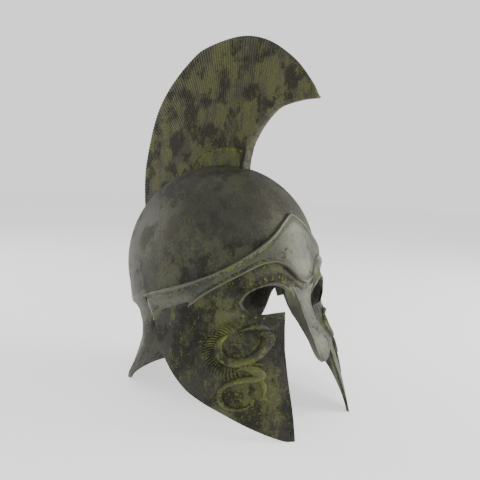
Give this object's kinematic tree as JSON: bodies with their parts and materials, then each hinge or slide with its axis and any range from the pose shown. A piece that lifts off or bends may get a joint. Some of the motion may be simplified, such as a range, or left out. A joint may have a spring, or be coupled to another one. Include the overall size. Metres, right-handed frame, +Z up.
{
  "type": "greek bronze helmet",
  "caption": "Cast bronze helmet with cheek guards, nose guard, flared neck guard, a raised brow plate, a coiled dragon in relief and a tall fan crest on a low foot.",
  "frame": {"origin": "middle of the bounding box on the surface the helmet stands on", "axes": "the face looks along -Y, the wearer's left is +X, +Z is up; the helmet leans back as it rests on its cheek tips and neck guard"},
  "size_m": [0.2006, 0.285, 0.3652],
  "materials": {
    "cast_bronze": "dark patinated bronze, mottled green, worn satin on the brow and nose",
    "foot_bronze": "rough patinated bronze with bright green verdigris",
    "plume_bronze": "dark patinated bronze with fine ribs and green verdigris"
  },
  "bodies": {
    "root": {"helmet_shell": "cast_bronze", "crest_foot": "foot_bronze", "crest_plume": "plume_bronze"}
  },
  "joints": []
}
